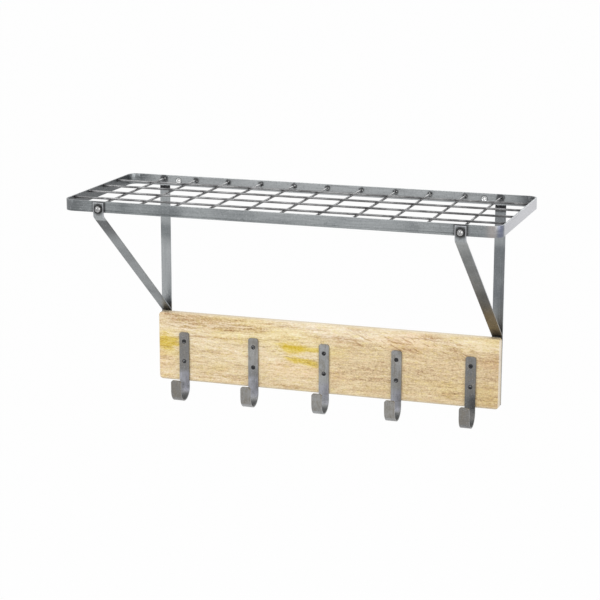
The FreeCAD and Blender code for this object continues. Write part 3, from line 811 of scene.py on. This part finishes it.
def new_object(name, data):
    """Put data into the scene."""
    item = bpy.data.objects.new(name, data)
    bpy.context.scene.collection.objects.link(item)
    return item


def new_form(name, mesh, material):
    """Make an object from a finished mesh."""
    data = bpy.data.meshes.new(name)
    mesh.to_mesh(data)
    mesh.free()
    data.materials.append(material)
    return new_object(name, data)


def new_piece(name, mesh, material, sharp=40):
    """Make a smooth piece from a finished mesh and let it ride on the shelf."""
    smooth(mesh, sharp)
    item = new_form(name, mesh, material)
    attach(item, BODY)
    return item


def smooth(mesh, degrees):
    """Round off the shading, keeping sharp edges sharp."""
    bmesh.ops.recalc_face_normals(mesh, faces=mesh.faces[:])
    for face in mesh.faces:
        face.smooth = True
    for edge in mesh.edges:
        if len(edge.link_faces) == 2:
            edge.smooth = edge.calc_face_angle(0.0) < math.radians(degrees)


def seat_along(origin, direction):
    """Matrix that turns local +Z to a direction at an origin."""
    turn = Vector(direction).to_track_quat("Z", "Y").to_matrix().to_4x4()
    return Matrix.Translation(origin) @ turn


def skin(mesh, rings, closed):
    """Faces between rings of points, with flat ends where closed."""
    for lower, upper in zip(rings, rings[1:]):
        for at in range(len(lower)):
            after = (at + 1) % len(lower)
            mesh.faces.new((lower[at], lower[after], upper[after], upper[at]))
    if closed:
        mesh.faces.new(list(reversed(rings[0])))
        mesh.faces.new(rings[-1])


def turned(mesh, profile, sides, seat):
    """Rings of points from radius and height pairs about local Z."""
    rings = []
    for radius, height in profile:
        turns = [2 * math.pi * at / sides for at in range(sides)]
        points = [Vector((radius * math.cos(turn), radius * math.sin(turn), height)) for turn in turns]
        rings.append([mesh.verts.new(seat @ point) for point in points])
    return rings


def in_cross(x, y, reach, half):
    """One inside a cross-shaped recess, fading over its walls."""
    fade = 0.00025

    def within(offset, limit):
        return min(1.0, max(0.0, (limit - abs(offset)) / fade))

    return max(within(x, reach) * within(y, half), within(y, reach) * within(x, half))


def round_head(mesh, fixings, radius, height, rim, seat, spin):
    """Domed head on local Z with a cross recess, from its rim to its crown."""
    recess = fixings.recess_depth
    sides = fixings.head_sides
    steps = fixings.head_steps
    rings = turned(mesh, [(radius, 0.0), (radius, rim)], sides, seat)
    for step in range(1, steps):
        out = 1 - step / steps
        rise = rim + (height - rim) * (1 - out ** 2)
        ring = []
        for at in range(sides):
            turn = 2 * math.pi * at / sides
            x = radius * out * math.cos(turn + spin)
            y = radius * out * math.sin(turn + spin)
            depth = recess * in_cross(x, y, radius * 0.52, radius * 0.15)
            point = Vector((radius * out * math.cos(turn), radius * out * math.sin(turn), rise - depth))
            ring.append(mesh.verts.new(seat @ point))
        rings.append(ring)
    skin(mesh, rings, False)
    mesh.faces.new(list(reversed(rings[0])))
    crown = mesh.verts.new(seat @ Vector((0, 0, height - recess)))
    last = rings[-1]
    for at in range(sides):
        mesh.faces.new((last[at], last[(at + 1) % sides], crown))


def ridged_shank(mesh, radius, stop, pitch, seat):
    """Shank below local Z zero with ridges and a tapered end."""
    profile = []
    height = -0.0001
    while height > stop + 2 * pitch:
        profile += [(radius, height), (radius * 0.86, height - pitch / 2)]
        height -= pitch
    profile += [(radius * 0.8, stop + pitch), (radius * 0.45, stop)]
    skin(mesh, turned(mesh, profile, 24, seat), True)


def weld_collar(mesh, seat, reach, jitter):
    """Uneven collar of weld round a wire end, on local Z from the wall."""
    sides = 14
    rings = []
    for out, rise in ((1.0, 0.0), (0.92, 0.35), (0.62, 0.75), (0.22, 1.15), (-0.1, 1.5)):
        ring = []
        for at in range(sides):
            turn = 2 * math.pi * at / sides
            radius = WIRE_RADIUS + reach * out * (1 + jitter.uniform(-0.35, 0.35))
            height = reach * rise * (1 + jitter.uniform(-0.2, 0.2))
            point = seat @ Vector((radius * math.cos(turn), radius * math.sin(turn), height))
            point.z = min(point.z, BAND_HIGH.z - 0.0002)
            ring.append(mesh.verts.new(point))
        rings.append(ring)
    skin(mesh, rings, True)


def weld_run(mesh, start, stop, first, second, leg, jitter):
    """Rippled weld bead in the corner between two faces."""
    steps = 26
    arc = 6
    rings = []
    for step in range(steps + 1):
        at = start.lerp(stop, step / steps)
        ripple = 0.80 + 0.20 * abs(math.sin(step * math.pi / 3.3)) + jitter.uniform(-0.05, 0.05)
        ring = [mesh.verts.new(at)]
        for part in range(arc + 1):
            turn = math.pi / 2 * part / arc
            offset = Vector(first) * math.cos(turn) + Vector(second) * math.sin(turn)
            ring.append(mesh.verts.new(at + offset * leg * ripple))
        rings.append(ring)
    skin(mesh, rings, True)


def foot_top(brace):
    """Height where a brace's upper face comes nearest its upright."""
    points = [vertex.co for vertex in NODES[brace].data.vertices]
    rear = max(point.y for point in points)
    return max(point.z for point in points if point.y > rear - 1e-5)


def board_outline(corner):
    """Points round the board, seen from the front, with an arc at each corner."""
    steps = 12
    middle_x, _, middle_z = middle("board")
    points = []
    for quarter, (side, rise) in enumerate(((1, 1), (-1, 1), (-1, -1), (1, -1))):
        x = middle_x + side * (BOARD_HIGH.x - middle_x - corner)
        z = middle_z + rise * (BOARD_HIGH.z - middle_z - corner)
        for step in range(steps + 1):
            turn = (quarter + step / steps) * math.pi / 2
            points.append((x + corner * math.cos(turn), z + corner * math.sin(turn)))
    return points


class SHELF_OT_finish_bars(bpy.types.Operator):
    """Brush the band, the uprights and the braces"""

    bl_idname = "shelf.finish_bars"
    bl_label = "Finish the bars"

    def execute(self, context):
        steel = context.scene.shelf_steel
        tones = (steel.bar_dark, steel.bar_light)
        brush_nodes(steel, ["shelf_band"], "brushed_band", tones, (12.0, 12.0, 900.0), 0.30, band_marks)
        brush_nodes(steel, UPRIGHTS, "brushed_upright", tones, (900.0, 60.0, 10.0), 0.26, upright_marks)
        brush_nodes(steel, BRACES, "brushed_brace", tones, (900.0, 14.0, 14.0), 0.26, brace_marks)
        return {"FINISHED"}


class SHELF_OT_finish_wires(bpy.types.Operator):
    """Give the grid its drawn wire"""

    bl_idname = "shelf.finish_wires"
    bl_label = "Finish the wires"

    def execute(self, context):
        wire = wire_finish(context.scene.shelf_steel)
        for node in LONG_WIRES + CROSS_WIRES:
            dress(node, wire)
        return {"FINISHED"}


class SHELF_OT_make_welds(bpy.types.Operator):
    """Lay the weld beads at the wire ends, the upright tops and the brace feet"""

    bl_idname = "shelf.make_welds"
    bl_label = "Make the welds"

    def execute(self, context):
        steel = context.scene.shelf_steel
        leg = steel.bead
        inset = 0.001
        scale = weld_finish(steel)
        jitter = random.Random(7)
        mesh = bmesh.new()
        for node in LONG_WIRES:
            for side in (-1, 1):
                wall = (side * LONG_END, middle(node).y, FIRST_LONG.z)
                weld_collar(mesh, seat_along(wall, (-side, 0, 0)), leg * 0.38, jitter)
        for node in CROSS_WIRES:
            for y, side in ((CROSS_FRONT, 1), (CROSS_REAR, -1)):
                wall = (middle(node).x, y, FIRST_CROSS.z)
                weld_collar(mesh, seat_along(wall, (0, side, 0)), leg * 0.42, jitter)
        new_piece("wire_welds", mesh, scale, 70)
        mesh = bmesh.new()
        for upright, brace in zip(UPRIGHTS, BRACES):
            low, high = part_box(upright)
            under_band = (BAND_LOW.z, (0, -1, 0), (0, 0, -1))
            over_foot = (foot_top(brace), UP_BRACE, (0, 0, 1))
            for z, first, second in (under_band, over_foot):
                ends = (Vector((low.x + inset, 0, z)), Vector((high.x - inset, 0, z)))
                weld_run(mesh, *ends, first, second, leg, jitter)
        new_piece("upright_welds", mesh, scale, 60)
        return {"FINISHED"}


class SHELF_OT_make_bolts(bpy.types.Operator):
    """Make the brace bolts and their black rings, and plate the nuts"""

    bl_idname = "shelf.make_bolts"
    bl_label = "Make the bolts"

    def execute(self, context):
        fixings = context.scene.shelf_fixings
        zinc = zinc_finish(fixings)
        low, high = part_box("brace_bolts")
        ring_low, ring_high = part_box("brace_washers")
        head = (high.z - low.z) / 2
        ring = (ring_high.z - ring_low.z) / 2
        thick = ring_high.y - ring_low.y
        bore = fixings.bolt_shank + 0.0003
        bolts = bmesh.new()
        rings = bmesh.new()
        for side, spin in ((-1, 0.5), (1, 1.1)):
            seat = seat_along((side * BRACE_X, ring_low.y, BOLT_Z), (0, -1, 0))
            round_head(bolts, fixings, head, ring_low.y - low.y, 0.0008, seat, spin)
            ridged_shank(bolts, fixings.bolt_shank, ring_low.y - high.y, 0.0008, seat)
            profile = (
                (bore, -thick), (ring - 0.0006, -thick), (ring, -thick + 0.0006), (ring, -0.0007),
                (ring - 0.0007, 0.0), (head - 0.0004, 0.0), (bore, -0.0002),
            )
            loops = turned(rings, profile, fixings.head_sides, seat)
            skin(rings, loops + loops[:1], False)
        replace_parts(new_piece("dome_bolts", bolts, zinc), "brace_bolts")
        black = black_finish(fixings, "black_ring", ring_glints)
        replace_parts(new_piece("black_rings", rings, black), "brace_washers")
        ease_edges(dress("brace_nuts", zinc), 0.0003)
        return {"FINISHED"}


class SHELF_OT_make_board(bpy.types.Operator):
    """Draw the board with its rounded corners, eased edges, grain and stains"""

    bl_idname = "shelf.make_board"
    bl_label = "Make the board"

    def execute(self, context):
        wood = context.scene.shelf_wood
        outline = board_outline(wood.corner)
        mesh = bmesh.new()
        rings = [[mesh.verts.new((x, y, z)) for x, z in outline] for y in (BOARD_LOW.y, BOARD_HIGH.y)]
        skin(mesh, rings, True)
        board = new_piece("hook_board", mesh, wood_finish(wood))
        ease_edges(board, wood.edge, 5)
        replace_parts(board, "board")
        return {"FINISHED"}


class SHELF_OT_finish_hooks(bpy.types.Operator):
    """Brush the hooks"""

    bl_idname = "shelf.finish_hooks"
    bl_label = "Finish the hooks"

    def execute(self, context):
        steel = context.scene.shelf_steel
        tones = (steel.hook_dark, steel.hook_light)
        brush_nodes(steel, HOOKS, "brushed_hook", tones, (900.0, 30.0, 22.0), 0.16, hook_marks, inner_bend)
        return {"FINISHED"}


class SHELF_OT_make_screws(bpy.types.Operator):
    """Make the dark hook screws, and plate the rear screws"""

    bl_idname = "shelf.make_screws"
    bl_label = "Make the screws"

    def execute(self, context):
        fixings = context.scene.shelf_fixings
        front = BOARD_LOW.y - HOOK_BAR
        rise = front - SCREW_LOW.y
        reach = front - SCREW_HIGH.y
        turns = random.Random(11)
        mesh = bmesh.new()
        for node in HOOKS:
            for z in SCREW_ROWS:
                seat = seat_along((middle(node).x, front, z), (0, -1, 0))
                spin = turns.uniform(0, 1.5)
                round_head(mesh, fixings, SCREW_HEAD, rise, 0.0003, seat, spin)
                ridged_shank(mesh, fixings.screw_shank, reach, 0.0012, seat)
        black = black_finish(fixings, "black_screw", screw_glints)
        screws = new_piece("hook_wood_screws", mesh, black)
        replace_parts(screws, "hook_screws")
        ease_edges(dress("board_screws", zinc_finish(fixings)), 0.0002)
        return {"FINISHED"}


# Lamps: place, side and power
LAMPS = {
    "key": ((-1.6, -2.4, 1.9), 1.8, 48.0),
    "fill": ((2.4, -1.6, 0.8), 1.6, 20.0),
    "rim": ((0.6, 1.8, 1.7), 1.6, 22.0),
}
LAMP_AIM = Vector((0.0, -0.12, -0.18))


def make_floor(stage):
    """Pale floor that is nearly white to a straight look."""
    half = stage.floor_size / 2
    mesh = bmesh.new()
    corners = ((-half, -half), (half, -half), (half, half), (-half, half))
    mesh.faces.new([mesh.verts.new((x, y, -stage.floor_drop)) for x, y in corners])
    made = Finish("pale_floor", stage.floor_tone)
    seen = made.product(made.seen(), stage.floor_white)
    glow = made.node("ShaderNodeEmission", [("Color", even(1.0)), ("Strength", 1.0)])
    shaders = (seen, made.shader.outputs[0], glow.outputs[0])
    mixed = made.node("ShaderNodeMixShader", enumerate(shaders))
    made.feed(made.tree.nodes["Material Output"].inputs[0], mixed.outputs[0])
    floor = new_form("floor", mesh, made.done(roughness=0.9))


def make_world(stage):
    """White all round, dimmer as a light than to a look."""
    world = bpy.data.worlds.new("studio")
    made = Nodes(world)
    back = made.tree.nodes["Background"].inputs
    sockets = [("Value", made.seen()), ("To Min", stage.world_level)]
    made.feed(back["Color"], even(1.0))
    made.feed(back["Strength"], made.node("ShaderNodeMapRange", sockets).outputs[0])
    return world


def make_lamps():
    """Soft square lamps that the camera doesn't see."""
    for name, (place, size, power) in LAMPS.items():
        data = bpy.data.lights.new(name, "AREA")
        data.shape = "SQUARE"
        data.size = size
        data.energy = power
        lamp = new_object(name, data)
        lamp.location = place
        lamp.rotation_euler = (LAMP_AIM - Vector(place)).to_track_quat("-Z", "Y").to_euler()
        lamp.visible_camera = False


def make_camera(stage):
    """Camera on its circle about the aim."""
    data = bpy.data.cameras.new("camera")
    data.sensor_width = 36.0
    data.lens = stage.lens
    data.clip_end = 400.0
    level = math.cos(stage.elevation)
    side = math.sin(stage.azimuth) * level
    back = Vector((side, -math.cos(stage.azimuth) * level, math.sin(stage.elevation)))
    camera = new_object("camera", data)
    camera.location = Vector(stage.aim) + back * stage.distance
    turn = (-back).to_track_quat("-Z", "Y").to_matrix() @ Matrix.Rotation(stage.roll, 3, "Z")
    camera.rotation_euler = turn.to_euler()
    return camera


class SHELF_OT_make_stage(bpy.types.Operator):
    """Set the pale floor, the soft lights and the camera"""

    bl_idname = "shelf.make_stage"
    bl_label = "Make the stage"

    def execute(self, context):
        stage = context.scene.shelf_stage
        make_floor(stage)
        make_lamps()
        context.scene.world = make_world(stage)
        context.scene.camera = make_camera(stage)
        context.scene.view_settings.view_transform = "Standard"
        return {"FINISHED"}


STEPS = (
    SHELF_OT_finish_bars, SHELF_OT_finish_wires, SHELF_OT_make_welds, SHELF_OT_make_bolts,
    SHELF_OT_make_board, SHELF_OT_finish_hooks, SHELF_OT_make_screws, SHELF_OT_make_stage,
)
GROUPS = {
    "shelf_steel": ShelfSteel,
    "shelf_wood": ShelfWood,
    "shelf_fixings": ShelfFixings,
    "shelf_stage": ShelfStage,
}


class SHELF_PT_panel(bpy.types.Panel):
    """Steps that dress the shelf, and their values"""

    bl_idname = "SHELF_PT_panel"
    bl_label = "Shelf"
    bl_space_type = "VIEW_3D"
    bl_region_type = "UI"
    bl_category = "Shelf"

    def draw(self, context):
        for step in STEPS:
            self.layout.operator(step.bl_idname)
        for group, kind in GROUPS.items():
            for key in kind.__annotations__:
                self.layout.prop(getattr(context.scene, group), key)


def register():
    for name, group in GROUPS.items():
        bpy.utils.register_class(group)
        setattr(bpy.types.Scene, name, PointerProperty(type=group))
    for item in (*STEPS, SHELF_PT_panel):
        bpy.utils.register_class(item)


def unregister():
    for item in reversed((*STEPS, SHELF_PT_panel)):
        bpy.utils.unregister_class(item)
    for name, group in GROUPS.items():
        delattr(bpy.types.Scene, name)
        bpy.utils.unregister_class(group)


def main():
    register()
    bpy.ops.shelf.finish_bars()
    bpy.ops.shelf.finish_wires()
    bpy.ops.shelf.make_welds()
    bpy.ops.shelf.make_bolts()
    bpy.ops.shelf.make_board()
    bpy.ops.shelf.finish_hooks()
    bpy.ops.shelf.make_screws()
    bpy.ops.shelf.make_stage()


if __name__ == "__main__":
    main()
